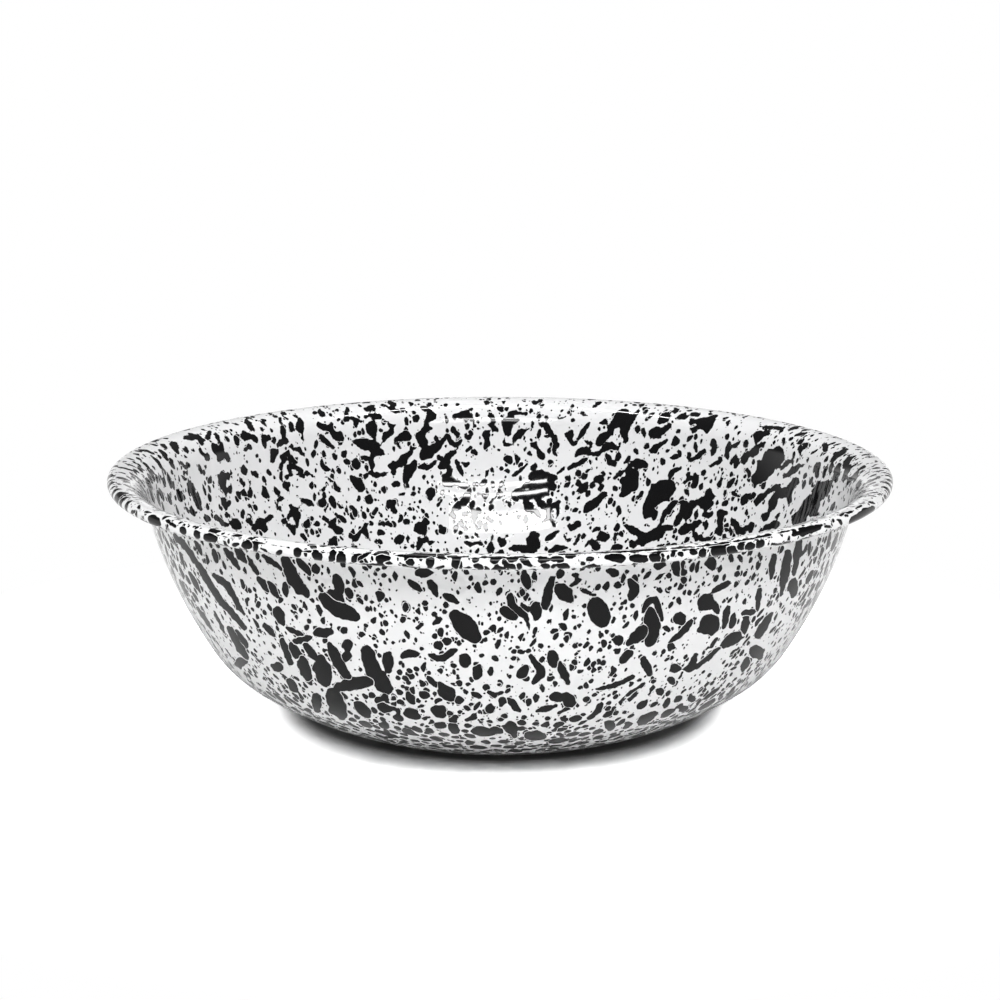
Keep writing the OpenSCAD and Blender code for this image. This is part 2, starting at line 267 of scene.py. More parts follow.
INSIDE_MARKS = [
    # Left end
    (3, 186, 437, 194, 438), ((2.2, 2.4), 197, 436, 202, 440, 203, 444), (3, 172, 443, 177, 452),
    (1.2, 185, 447, 188, 451), (1.5, 192, 449, 194, 452), (1.4, 201, 451, 203, 454),
    ((3, 2), 209, 435, 207, 438), (1.5, 216, 434, 220, 443), ((1.2, 2), 212, 445, 219, 448, 222, 452),
    (2, 222, 444, 221, 452, 221, 459), (2.2, 220, 458, 226, 456, 228, 461), (1.9, 213, 449, 215, 453),
    (2.3, 207, 455, 209, 459), (1.9, 226, 437, 228, 440), (1.6, 235, 437, 236, 441, 237, 444),
    ((1.9, 0.8), 180, 462, 183, 465, 186, 471), (2, 187, 463, 189, 467), (1.7, 199, 467, 204, 474),
    (1.2, 203, 464, 206, 469), (1.4, 182, 476, 188, 480), ((2.6, 3.8), 189, 479, 191, 489, 195, 496),
    ((3.8, 1.2), 196, 498, 198, 505, 202, 512), (1.7, 178, 481, 182, 487),
    ((2.4, 1.8), 179, 491, 182, 500), (1.3, 202, 484, 206, 493), (1.7, 191, 506, 194, 513),
    (1.3, 186, 506, 188, 512), (1.4, 206, 517, 210, 519), (1.3, 211, 477, 209, 481),
    ((5.2, 3.6), 223, 477, 222, 485), (2.5, 227, 476), ((3, 0.8), 223, 488, 228, 496),
    (1.6, 231, 485, 230, 491), ((1.6, 3.2), 221, 498, 226, 506), ((2.5, 1.2), 227, 506, 230, 502),
    (1.6, 226, 514, 229, 517), (1.7, 216, 516, 220, 521, 226, 525), (5, 236, 524, 237, 525),
    (3.2, 250, 521), (2.2, 250, 516),
    # Left part
    (3.6, 245, 434, 247, 437), (1.8, 253, 437, 256, 440), (2, 264, 437, 269, 439),
    ((3.2, 1), 247, 422, 254, 430), (1.5, 261, 428, 263, 430), ((2.3, 2.6), 283, 428, 283, 437),
    (2.6, 283, 439, 281, 442, 279, 445), (2, 283, 440, 286, 442), ((2, 1.5), 290, 420, 291, 431),
    ((4.6, 3), 300, 422, 301, 431), (1.1, 302, 435, 304, 441), (1.9, 292, 446),
    ((1, 2.6), 294, 448, 299, 450), ((2.6, 1), 299, 450, 304, 455), (1.5, 250, 446, 251, 448),
    (1.2, 242, 450, 246, 450), (1.6, 244, 456), (1.6, 257, 456), (3.4, 274, 453),
    (1.9, 272, 457, 272, 461), (1.8, 287, 452, 283, 456), (1.4, 280, 457, 284, 459),
    (1.3, 290, 457, 293, 461, 297, 462), (2.7, 244, 468, 245, 472), ((1.5, 2.2), 252, 472, 256, 476),
    (1.6, 268, 471, 270, 474), (1.7, 275, 478), (1.4, 281, 464, 281, 469),
    ((1.6, 2.2), 290, 472, 289, 467, 295, 467, 301, 470), (1.3, 286, 477, 291, 476),
    ((0.8, 1.7), 296, 474, 304, 477), (1.4, 240, 478, 244, 485), (1.5, 249, 480, 254, 484),
    ((2.8, 3.4), 264, 490, 265, 497), ((2.5, 1.5), 266, 494, 270, 498), (1.8, 250, 489, 251, 496),
    (1.3, 242, 491, 245, 494), (1.2, 237, 493, 240, 498), (1.7, 274, 486, 278, 492),
    (1.9, 286, 487, 284, 485, 290, 484), (1.5, 298, 487), (0.8, 287, 490, 302, 500),
    (1.3, 279, 500, 288, 496), (1.7, 275, 502, 281, 510), (1.3, 268, 506, 281, 511),
    (4.6, 296, 511, 297, 516), ((2.5, 1), 293, 512, 289, 517), ((2.5, 1), 298, 508, 301, 505),
    ((2.5, 1.2), 293, 509, 290, 505), ((3, 1.2), 297, 518, 297, 527), ((3.2, 4), 256, 525, 262, 522),
    ((3, 1.2), 262, 521, 271, 517), ((3.5, 2), 262, 526, 266, 530), (2.5, 255, 529),
    (1.2, 284, 519, 284, 523), (1.2, 286, 524, 293, 531, 294, 534), (3, 307, 522, 306, 527),
    (1.9, 304, 501, 313, 505), ((2.2, 1), 302, 535, 306, 541), (3.3, 321, 503, 322, 505),
    ((3.6, 2), 332, 499, 334, 507), (1.3, 323, 493, 325, 496), (1.4, 333, 512, 339, 517, 346, 521),
    ((2.4, 3.2), 335, 519, 330, 526), (2.2, 334, 529, 341, 531), (1, 323, 516, 325, 519, 329, 521),
    (1.3, 313, 524, 318, 525), (1.4, 318, 536), ((1.5, 3.2), 334, 539, 333, 543),
    (1.5, 329, 545, 336, 545), ((4, 2), 320, 425, 332, 431), (4.5, 335, 434, 339, 438),
    ((3, 2), 320, 435, 333, 447), (1.6, 330, 424, 332, 428), ((3.2, 1), 347, 410, 345, 420),
    (1, 345, 420, 352, 418, 364, 422), ((2, 0.6), 355, 421, 356, 427), (2, 320, 411, 325, 416),
    (2.3, 333, 454, 335, 458), (1.6, 344, 452, 344, 455), (2.2, 346, 462, 348, 463),
    (3.4, 355, 464, 356, 466), (1.3, 338, 470, 340, 473), (5.2, 355, 480, 361, 487),
    ((0.8, 1.8), 325, 477, 333, 482, 336, 488, 341, 491), (1.9, 321, 461, 324, 467, 329, 470),
    (1.5, 353, 526),
    # Left of the middle
    (1.8, 366, 409, 374, 408), ((1.5, 2.5), 374, 411, 380, 417), (1.2, 365, 417, 369, 415, 373, 418),
    (1.6, 390, 408, 395, 411, 399, 412), (2, 389, 403, 394, 404), (1.5, 421, 408, 427, 410),
    (3.3, 416, 418, 415, 420), (3.3, 431, 414, 432, 418), (2.3, 432, 418, 427, 418, 426, 424),
    (1.2, 383, 421, 387, 421, 390, 425, 393, 428), (1.2, 396, 423, 393, 428), (5.6, 372, 426, 372, 432),
    ((1.2, 5), 351, 441, 362, 443), (6, 364, 444, 372, 446), ((6, 3.5), 373, 447, 374, 453),
    ((3, 1.8), 373, 453, 371, 460, 372, 467), (2.2, 364, 458, 370, 457), (1.5, 380, 451, 384, 454),
    ((1, 3), 382, 444, 384, 438, 391, 432), (3.4, 405, 436, 408, 437), (2.5, 397, 439, 404, 436),
    (0.8, 395, 443, 402, 449), (0.9, 411, 447, 417, 449), ((1.5, 4), 432, 427, 423, 431, 420, 437),
    (4.2, 420, 437, 424, 444), ((6, 5.5), 425, 455, 432, 450), ((5.5, 2.5), 432, 450, 444, 440),
    ((2.5, 1), 437, 441, 436, 436), ((1.8, 3), 389, 466, 398, 464), (3.8, 400, 463, 407, 456),
    ((3.5, 1.2), 407, 456, 413, 451), ((2, 4.5), 415, 461, 412, 466, 409, 473),
    ((4.8, 3), 409, 473, 406, 480), (3, 421, 467, 429, 467), ((3, 1), 429, 467, 436, 461),
    ((1, 3), 370, 473, 378, 476, 385, 474), (1.6, 394, 472), ((1, 2.2), 392, 485, 398, 484),
    (1, 403, 487, 410, 487), (1.1, 373, 489, 377, 493), (1.7, 400, 495, 405, 493),
    (2.2, 413, 492, 415, 494), (4.4, 431, 490, 430, 497), (1.5, 441, 492, 443, 494),
    ((3.3, 1.5), 355, 512, 356, 517), (1.5, 363, 512, 365, 517), (3.7, 367, 499, 370, 501),
    (2, 373, 513, 377, 509), ((4.6, 3), 389, 504, 394, 501), ((2.5, 1.6), 393, 507, 395, 515),
    (1.9, 366, 524, 363, 529), (2, 363, 530, 368, 536), (3.1, 360, 533, 354, 541), (1.8, 351, 535),
    (1.3, 351, 547, 356, 547), (1.4, 379, 525, 382, 522, 384, 525), (1.6, 388, 522, 391, 525),
    (1.6, 377, 535, 380, 531, 384, 534), (2.2, 405, 523, 408, 521), (4, 398, 540, 401, 538),
    (4.5, 418, 526, 423, 531), (1.8, 406, 547), (1.4, 412, 546), (3, 419, 540, 420, 545),
    ((2, 1), 422, 542, 427, 539), (2, 418, 549), (1.3, 424, 550), (3.4, 440, 528, 443, 532),
    (1.1, 430, 544, 435, 541), (1.7, 438, 505, 442, 500), (1.5, 437, 516), (1, 425, 519, 428, 523),
    # Middle
    (4, 456, 415, 470, 415), (3, 454, 417), ((3, 1.5), 465, 418, 466, 423),
    ((2.5, 1.3), 471, 416, 474, 422), (3, 453, 429, 457, 434), (1.9, 469, 431, 472, 434),
    ((1, 2.2), 464, 434, 469, 438), (1.3, 475, 426), ((1.8, 2.6), 448, 436, 452, 443, 457, 447),
    (1, 457, 445, 462, 441), (3.4, 449, 456, 455, 452), (4, 441, 466, 447, 463),
    (2.3, 456, 461, 460, 469, 463, 474), (2.4, 450, 468, 451, 474), (4, 446, 476),
    (4.6, 447, 482, 456, 483), ((2.5, 1.2), 460, 485, 472, 486), (1.8, 473, 451, 476, 453),
    (1, 462, 462, 466, 466, 469, 462), (2.7, 486, 433, 486, 440), (2.5, 488, 443, 487, 446),
    ((2, 1.2), 489, 413, 494, 418), (0.8, 494, 419, 494, 424), (1.5, 489, 425, 493, 425),
    (1.5, 494, 427, 497, 431), ((5.5, 1.5), 507, 422, 507, 430, 509, 437), ((4, 2), 511, 421, 519, 420),
    (2.2, 510, 413, 526, 413), (2.5, 510, 416), ((1.5, 3.2), 513, 440, 520, 434),
    ((3.2, 0.9), 520, 434, 530, 428), (1, 505, 438, 504, 442), (1.7, 504, 444, 508, 445, 513, 444),
    ((2.2, 3.4), 541, 424, 546, 427, 551, 433), ((2, 1.2), 550, 437, 542, 436),
    (3.4, 533, 445, 535, 446), (1.8, 530, 454), (1.3, 499, 450), ((2, 2.8), 539, 452, 542, 457),
    ((1.2, 2.6), 559, 444, 554, 449), ((2.6, 1), 554, 449, 557, 456), (1.6, 537, 417, 540, 415),
    (1, 558, 417, 562, 419, 566, 416), (4.6, 508, 459), (2, 501, 468), (1.3, 491, 468, 492, 472),
    (1, 487, 470, 486, 476), (1.5, 471, 475), (1.5, 479, 475), ((1.8, 3), 513, 475, 520, 471),
    ((3, 2), 520, 471, 527, 464), (1.8, 532, 469, 536, 465), (6, 534, 476, 553, 478),
    (6, 527, 486, 552, 486), (5.5, 516, 495), (5, 520, 495, 545, 493), ((4, 3.6), 527, 504, 530, 509),
    ((4, 1.5), 538, 499, 548, 511), (1.5, 549, 512, 553, 505, 559, 502),
    (1.5, 557, 505, 559, 512, 556, 519), (1.8, 548, 512, 550, 520), (1.8, 551, 521, 555, 527),
    (1.2, 543, 522, 549, 519), (0.9, 536, 510, 541, 516), ((1.2, 2.6), 559, 530, 552, 535, 547, 539),
    (1.3, 564, 487, 569, 484), (2, 566, 499), (3, 567, 477), ((3.8, 2.4), 568, 433, 570, 439),
    (0.9, 570, 442, 573, 445, 576, 443), (3.3, 501, 542, 503, 543), (2.2, 507, 536), (1.5, 514, 535),
    (5.8, 532, 540, 535, 545), ((2, 4.5), 510, 549, 522, 548), (4.5, 522, 549, 533, 549),
    ((1.5, 3), 550, 551, 556, 548), (2.6, 556, 548, 565, 548), (1.5, 565, 536, 566, 540, 569, 540),
    ((2.2, 3.4), 580, 522, 575, 526), (3, 573, 528), (1.2, 569, 525), (3.4, 490, 546, 491, 551),
    (1.3, 491, 540, 493, 536), (0.8, 465, 542, 471, 545, 478, 543, 482, 544),
    ((3.5, 4.6), 468, 496, 461, 503), ((4.6, 3.4), 461, 503, 454, 508), (1.8, 451, 512, 455, 518),
    (1.1, 478, 494, 482, 494, 485, 498, 488, 494), ((2, 1.1), 491, 502, 499, 495), (1.4, 505, 502),
    (1.5, 510, 506), (1.4, 481, 484, 483, 482, 486, 481), (1.2, 502, 483, 500, 487),
    # Right of the middle
    (2.4, 582, 413, 585, 415), (1.4, 573, 420), ((1, 2.2), 592, 421, 585, 429, 579, 438),
    (2.2, 602, 422, 605, 420), ((4, 7), 623, 412, 621, 420), (6.5, 628, 419),
    ((5.5, 2.2), 614, 423, 611, 433), ((3, 1), 634, 416, 639, 409), ((5, 4.5), 625, 427, 624, 434),
    ((3.5, 2.6), 625, 436, 626, 442), (1.8, 619, 437), (4.1, 603, 436, 600, 440), (2, 597, 444),
    ((1.6, 4.4), 576, 456, 583, 450), (4, 583, 450, 588, 450), (1.6, 585, 441, 588, 446),
    (1.5, 594, 434, 592, 443, 590, 449), (1.6, 591, 452, 594, 455, 598, 453),
    ((2.2, 4), 603, 450, 610, 445), ((3.5, 2), 610, 445, 617, 447), (1.5, 620, 443),
    (3, 609, 463, 614, 463), (1.6, 606, 455, 610, 459), (2, 616, 459, 619, 455),
    (1.2, 625, 463, 630, 457), (2.2, 635, 449, 637, 453), (1, 629, 449, 635, 442),
    (2, 637, 429, 637, 432), ((2.2, 1.6), 569, 468, 577, 464, 586, 459), (1.6, 586, 473, 593, 467),
    (2.2, 578, 474), (1.9, 576, 485, 579, 482), ((1.7, 2.8), 588, 481, 584, 488),
    ((2.6, 1), 583, 490, 576, 491), (4, 597, 479, 601, 479), (1.7, 593, 484, 593, 486),
    (1.2, 602, 470, 605, 476), (2.4, 608, 479), (1.6, 602, 486, 598, 490), (2, 615, 488),
    ((3, 4.5), 646, 465, 640, 462, 633, 465), ((5, 7), 630, 470, 632, 478), (7.5, 633, 479, 629, 488),
    ((5, 2.5), 627, 491, 623, 494), (1.9, 615, 478, 624, 471), (1.3, 619, 482, 625, 478),
    ((2.4, 2), 680, 468, 673, 471, 670, 477), (9.5, 657, 492, 667, 489), ((7, 3), 668, 488, 675, 483),
    ((9, 8), 662, 490, 652, 502), ((6, 5), 650, 507, 648, 512), ((3, 1.5), 654, 512, 655, 520),
    (2.3, 641, 494, 637, 499), ((4.6, 3.4), 661, 420, 667, 414), (1.2, 672, 411, 678, 411),
    (2.6, 679, 418, 685, 414), (5, 653, 433, 658, 432), ((4, 1.5), 662, 430, 669, 426),
    ((3.6, 2), 652, 451, 658, 446), ((2, 0.8), 658, 446, 668, 440), (2, 645, 447, 648, 446),
    (1.6, 649, 418, 653, 413), (3.2, 674, 443, 679, 440), (1.4, 679, 431), (2.4, 688, 439, 691, 437),
    (1.6, 668, 451), (1.3, 684, 446), (2, 662, 461, 663, 464), (2.2, 672, 458, 678, 456),
    ((1.4, 2), 690, 461, 697, 457), ((2, 1.2), 697, 457, 703, 451), ((2.2, 1.6), 683, 483, 690, 479),
    (2.8, 695, 475, 695, 482), (1.8, 693, 486), (6, 702, 424, 708, 424), (2, 692, 414, 698, 414),
    (2.5, 693, 421), (2.4, 694, 430), ((5, 2), 710, 420, 716, 417), (1.4, 687, 466),
    (1.8, 685, 490, 688, 495), ((3.8, 4), 585, 511, 596, 501), ((4, 2.5), 596, 501, 605, 494),
    (1.6, 574, 511, 578, 509), (2.2, 610, 503, 612, 501), (2.2, 619, 508, 620, 513), (1.6, 618, 516),
    ((1.2, 3), 625, 525, 630, 527), (4, 631, 529, 637, 533), (1.5, 624, 517, 622, 521),
    (4.6, 600, 537, 606, 537), (1.3, 594, 531, 599, 529), (4, 594, 544, 596, 547),
    (2.2, 613, 548, 621, 547), (1.7, 631, 543, 633, 547),
    # Right part
    (4, 714, 444), ((3.6, 1.4), 716, 448, 711, 456), (2.3, 711, 466, 720, 461),
    (1.7, 704, 471, 704, 474), (0.9, 705, 479, 712, 472), ((2.6, 2.2), 730, 444, 727, 450),
    (1.6, 727, 453, 728, 459), (1.2, 729, 448, 741, 441), (1.1, 731, 463, 736, 456),
    ((3, 1.5), 736, 466, 738, 461), (2.2, 746, 441, 746, 446), (3.3, 745, 458, 755, 451),
    ((3.2, 2), 755, 451, 763, 443), ((3, 1.4), 745, 459, 743, 466), ((1.3, 2), 723, 473, 720, 485),
    (1.3, 725, 480, 726, 476), ((2, 2.8), 728, 487, 734, 480), (9.5, 776, 455, 770, 462),
    ((9, 7), 768, 466, 762, 474), (6, 760, 477, 757, 480), (2.7, 757, 502, 766, 493),
    ((2.6, 1.4), 766, 493, 779, 485), ((2, 4.6), 798, 479, 792, 486), (5, 787, 491, 778, 495),
    ((5, 3), 775, 499, 770, 509), (4, 765, 516), ((3, 1.2), 789, 496, 789, 506),
    (2.8, 785, 477, 792, 470), ((2.6, 1.4), 792, 470, 804, 464), (1.9, 782, 467, 790, 462),
    (1.8, 794, 453, 794, 461), (1.7, 800, 448, 800, 458), ((2.2, 0.9), 799, 443, 807, 437),
    (1.7, 806, 444, 805, 448), ((3.5, 2.5), 757, 434, 757, 441), ((4, 1.5), 757, 435, 768, 433),
    (1.8, 760, 427, 770, 427, 780, 427), (1.6, 787, 430, 796, 428), ((2.6, 3), 819, 464, 818, 470),
    ((3, 1.6), 818, 472, 817, 479), (2.6, 826, 444, 825, 450),
    ((1.5, 2.6), 846, 450, 838, 454, 833, 461), ((2.6, 1.4), 833, 461, 829, 476),
    (2.1, 840, 464, 837, 474, 835, 480), ((1.5, 3.4), 857, 455, 849, 458, 845, 466),
    ((3, 1.2), 848, 467, 843, 482), ((7, 8), 826, 486, 817, 496), ((8, 7.5), 815, 500, 806, 512),
    (6, 800, 517, 797, 521), ((1.4, 2.5), 826, 469, 821, 480), (1.3, 850, 477, 846, 487),
    (1.5, 864, 466, 857, 470, 854, 483), (1.5, 861, 480, 854, 498), (1.3, 836, 501, 832, 510),
    (1.3, 776, 517, 780, 513), (1.5, 773, 440, 774, 444), (5.6, 704, 502, 706, 504),
    ((2.5, 2), 708, 497, 715, 496), (2, 709, 490, 707, 495), (3.6, 721, 514),
    ((3, 2.4), 720, 517, 719, 526), (2.6, 719, 528, 719, 534), (2.4, 726, 513),
    (5.5, 685, 506, 687, 514), ((3, 1.8), 680, 514, 677, 524), ((1.8, 3.4), 677, 501, 670, 507),
    ((3.4, 2), 668, 510, 658, 526), ((5, 6), 662, 531, 650, 537), (6, 650, 537, 642, 541),
    (2.4, 667, 527, 671, 529), ((4, 4.4), 681, 531, 688, 527), (3.3, 690, 528, 699, 523),
    (2.7, 694, 531, 696, 539), ((2.5, 1.5), 690, 537, 684, 543), ((1.4, 2.8), 706, 522, 706, 527),
    (1.1, 704, 531, 700, 539), (1.6, 705, 540, 711, 538), (1.9, 705, 513, 708, 516),
    (1.3, 712, 514, 713, 511), (1.7, 725, 490, 726, 494), (0.9, 725, 495, 719, 500),
    (2.6, 733, 493, 737, 496), (1.2, 738, 488, 734, 492), ((4, 3), 744, 501, 748, 496), (1.3, 754, 494),
    (2.2, 725, 503), (1.6, 691, 502, 694, 505), ((1.2, 2.3), 702, 484, 701, 488),
    ((1.6, 3.4), 731, 518, 736, 525), (3.5, 737, 527, 741, 532), (2.4, 746, 528),
    (2.7, 752, 524, 752, 531), ((1.4, 3), 759, 531, 768, 526), (3, 770, 526, 777, 524), (1.3, 727, 530),
    (1.3, 743, 472, 748, 470, 749, 477), (2.2, 648, 526), (2, 641, 533),
]

# Marks on the front of the rolled rim
RIM_MARKS = [
    (3.6, 152, 519, 156, 522), (1.2, 182, 528, 183, 532), (1.8, 196, 532, 197, 536),
    (4, 208, 537, 213, 538), (1.6, 210, 531, 219, 530), (1, 232, 536, 243, 534),
    (1.2, 234, 545, 238, 544), (3.6, 246, 544, 249, 545), (2, 255, 543, 256, 549),
    (0.8, 277, 553, 281, 551), (2.3, 297, 551, 299, 554), (3.6, 316, 554, 318, 557),
    ((1.6, 2.6), 333, 553, 331, 560), (3.8, 341, 555, 342, 560), ((1.6, 2.4), 355, 557, 354, 561),
    (0.9, 357, 561, 363, 556, 370, 553), (1.4, 361, 562), (4.6, 381, 559, 384, 559),
    ((2.5, 0.8), 384, 562, 393, 565), (0.7, 330, 563, 352, 564, 393, 565), (0.8, 377, 553, 388, 553),
    (2.9, 410, 561, 410, 563), (0.8, 405, 560, 413, 556, 425, 553), (3.3, 430, 559, 430, 565),
    (0.9, 424, 557, 434, 555), (0.9, 438, 556, 445, 557), (3, 457, 559, 456, 565), (2, 475, 560),
    ((2.4, 1), 476, 566, 482, 568), ((2.4, 1), 494, 561, 498, 560), (1.3, 504, 561, 508, 567),
    (2.2, 510, 560, 515, 560), (2, 511, 565, 514, 567), (1.5, 518, 565, 519, 567),
    (0.6, 529, 560, 530, 567), (1.6, 539, 561, 546, 560), (1.4, 543, 565, 548, 566), (2, 554, 560),
    (2, 554, 566), (1.8, 559, 561, 562, 560), ((2.4, 1), 560, 565, 568, 567), (1.5, 583, 564),
    (1, 567, 557, 575, 556), (0.9, 587, 559, 593, 558), (0.8, 583, 567, 600, 566),
    (3, 608, 557, 622, 558), (3, 633, 558, 648, 559), (3.4, 650, 558, 662, 558),
    (2.6, 661, 557, 663, 559), (0.8, 673, 553, 672, 556), (1.2, 680, 553, 682, 556),
    (1.6, 692, 552, 695, 553), (2.2, 703, 550, 702, 555), (4.2, 716, 551, 722, 551),
    (3.4, 730, 550, 735, 550), ((2, 1.4), 737, 549, 743, 545), (3, 748, 547, 753, 546),
    (3, 759, 545, 762, 543), (3, 795, 534, 818, 528), ((3, 3.6), 852, 521, 871, 509),
    # Thin streaks along its crest
    (0.5, 560, 554, 626, 551.5, 662, 549, 704, 546, 749, 539.5, 787, 531, 825, 524),
    (0.1, 640, 553, 690, 549.5, 735, 543.5, 770, 537), (0, 300, 551, 360, 554.5, 420, 556, 480, 557),
    (0, 470, 557, 520, 557.5, 560, 557), (0, 200, 532, 240, 540, 290, 548),
]


# Splatter as depths: how far inside the nearest mark a point lies, in millimetres

# Depth of a point far outside every mark
FAR_OUT = -4.5
# Groups that the marks are dealt out to
GROUPS = 2
# Square of a stroke's length up to which it counts as a dot
DOT_RUN = 1e-9


class Strokes(NamedTuple):
    """Straight strokes with round ends, whose half-width changes evenly from end to end. Each
    belongs to a group. Outside and on the rim, a thin white line parts marks of different
    groups."""
    starts: np.ndarray
    ends: np.ndarray
    first_w: np.ndarray
    last_w: np.ndarray
    groups: np.ndarray

    def depths(self, number, points):
        """How deep points lie in one stroke."""
        start = self.starts[number]
        run = self.ends[number] - start
        along = np.clip((points - start) @ run / max(run @ run, DOT_RUN), 0, 1)
        away = np.linalg.norm(points - start - along[..., None] * run, axis=-1)
        return self.first_w[number] + along * (self.last_w[number] - self.first_w[number]) - away

    def reach(self, number):
        """Middle of a stroke, and the distance from it to the stroke's far edge."""
        middle = (self.starts[number] + self.ends[number]) / 2
        half = np.linalg.norm(self.ends[number] - middle)
        return middle, half + max(self.first_w[number], self.last_w[number])


def joined_strokes(corners, widths, group):
    """Strokes from each corner of one mark to the next."""
    return Strokes(corners[:-1], corners[1:], widths[:-1], widths[1:], [group] * (len(widths) - 1))


def gathered(parts):
    """One set of strokes from those of many marks."""
    return Strokes(*(np.concatenate(column) for column in zip(*parts)))


# Shares of a mark's half-width at its ends and at its belly, and how quickly it swells: below
# 1 it is fuller than a sine
END_SHARE = 0.7
BELLY_SHARE = 1.05
SWELLING = 0.7
# Strokes that stand for the way from one point of a mark to the next
STROKES_A_LEG = 3


def oval_strokes(corners, widths, group):
    """Strokes of one mark whose ends are drawn in, so that it looks like a drop, not a rod."""
    legs = np.linalg.norm(np.diff(corners, axis=0), axis=1)
    for end, other in ((0, 1), (-1, -2)):
        way = corners[end] - corners[other]
        corners[end] += way / np.linalg.norm(way) * widths[end] * (1 - END_SHARE)
    way = np.concatenate([[0], np.cumsum(np.linalg.norm(np.diff(corners, axis=0), axis=1))])
    shares = np.linspace(0, 1, STROKES_A_LEG * len(legs) + 1)
    at = shares * way[-1]
    corners = np.stack([np.interp(at, way, column) for column in corners.T], axis=-1)
    belly = END_SHARE + (BELLY_SHARE - END_SHARE) * np.sin(math.pi * shares) ** SWELLING
    return joined_strokes(corners, np.interp(at, way, widths) * belly, group)


# Where a lobe starts and ends, and its half-width at both, in half-widths of its mark
LOBE_START = (0.3, 0.6)
LOBE_END = (0.7, 1.3)
LOBE_FIRST_W = (0.4, 0.7)
LOBE_LAST_W = (0.12, 0.45)


def ragged(strokes, lobes, rng):
    """The strokes of one mark with a number of lobes at its edge, like a drop that has splashed."""
    parts = [strokes]
    for _ in range(lobes):
        number = rng.integers(len(strokes.groups))
        half_w = (strokes.first_w[number] + strokes.last_w[number]) / 2
        start, end = strokes.starts[number], strokes.ends[number]
        middle = start + rng.uniform() * (end - start)
        way = rng.normal(size=len(middle))
        way *= half_w / np.linalg.norm(way)
        corners = np.array([middle + way * rng.uniform(*LOBE_START),
                            middle + way * rng.uniform(*LOBE_END)])
        widths = half_w * np.array([rng.uniform(*LOBE_FIRST_W), rng.uniform(*LOBE_LAST_W)])
        parts.append(joined_strokes(corners, widths, strokes.groups[number]))
    return gathered(parts)


# Lobes on each mark that was read from the photograph
READ_LOBES = 3


def read_strokes(marks, groups, rng, swell=0.0):
    """Strokes in the photograph's pixels, of the listed marks, dealt out to a number of groups.
    swell is added to each half-width."""
    parts = []
    for number, (widths, *numbers) in enumerate(marks):
        corners = np.reshape(numbers, (-1, 2)).astype(float)
        widths = np.linspace(*np.broadcast_to(widths, 2), len(corners)) + swell
        if len(corners) == 1:
            mark = joined_strokes(corners.repeat(2, axis=0), widths.repeat(2), number % groups)
        else:
            mark = oval_strokes(corners, widths, number % groups)
        parts.append(ragged(mark, READ_LOBES, rng))
    return gathered(parts)


# Points round the bowl in one row of a grid, and the distance between rows. ROW_STEP is just
# wide enough that no skin has more than 200 000 triangles.
COLUMNS = 900
ROW_STEP = 1.03
RIM_ROW_STEP = 0.45
# Difference in depth over which two marks of one group melt into each other
MELT = 0.8
# Least cosine of the angle between a point's normal and the way to the camera for it to count
# as shown
LEAST_FACING = 0.1
# How much wider than a stroke's reach its window of columns is, because the reach is straight
# and the row is round
ROUND_SPARE = 1.5


class Canvas:
    """A grid of points over one face of the glaze, with their depths in the marks of each group."""

    def __init__(self, face, ways, side):
        self.face = face
        self.ways = ways
        self.radius, self.height, slopes = face.at(ways)
        shares = np.arange(COLUMNS) / COLUMNS
        self.points = face.place(ways[:, None], shares)
        tilt = side * toward(slopes)
        angles = FULL_TURN * shares
        across, up = tilt[:, :1], tilt[:, 1:]
        self.normals = np.stack([across * np.cos(angles), across * np.sin(angles),
                                 up + 0 * angles], axis=-1)
        self.depths = np.full((GROUPS, len(ways), COLUMNS), FAR_OUT)
        self.shown = self.facing_camera()
        self.read = np.zeros_like(self.shown)

    def facing_camera(self):
        """Which points face the camera."""
        away = self.points - (rim_centre - CAMERA_DISTANCE * view_way)
        return -(away * self.normals).sum(-1) > LEAST_FACING * np.linalg.norm(away, axis=-1)

    def add_read(self, strokes, window):
        """Adds strokes read from the photograph in one window, on the points that it shows."""
        places, _ = photo_place(self.points)
        self.read = self.shown & (places > window[0]).all(axis=-1) & (places < window[1]).all(axis=-1)
        rows, columns = np.nonzero(self.shown)
        places, scale = photo_place(self.points[rows, columns])
        margin = -FAR_OUT * scale.max()
        for number, group in enumerate(strokes.groups):
            middle, reach = strokes.reach(number)
            near = np.flatnonzero((np.abs(places - middle) < reach + margin).all(axis=1))
            depths = strokes.depths(number, places[near]) / scale[near]
            self.deepen(group, (rows[near], columns[near]), depths)

    def add(self, strokes):
        """Adds strokes in space, on the points near them."""
        for number, group in enumerate(strokes.groups):
            middle, reach = strokes.reach(number)
            reach -= FAR_OUT
            radius = math.hypot(*middle[:2])
            away = np.hypot(self.radius - radius, self.height - middle[2])
            rows = np.flatnonzero(away < reach)
            if not rows.size:
                continue
            middle_column = math.atan2(middle[1], middle[0]) / FULL_TURN * COLUMNS
            share = reach / max(self.radius[rows].min(), reach) / FULL_TURN * ROUND_SPARE
            half = min(share, 0.5) * COLUMNS
            columns = np.arange(int(middle_column - half), int(middle_column + half) + 2) % COLUMNS
            window = np.ix_(rows, np.unique(columns))
            self.deepen(group, window, strokes.depths(number, self.points[window]))

    def deepen(self, group, window, depths):
        """Adds depths to one group, where marks that nearly touch run together like drops."""
        before = self.depths[group][window]
        near = np.maximum(MELT - np.abs(before - depths), 0) / MELT
        self.depths[group][window] = np.maximum(before, depths) + near ** 2 * MELT / 4

    def nearest(self, ways, shares):
        """Row and column of the grid points nearest to places on the face."""
        rows = np.clip(np.searchsorted(self.ways, ways), 0, len(self.ways) - 1)
        return rows, np.round(np.asarray(shares) * COLUMNS).astype(int) % COLUMNS


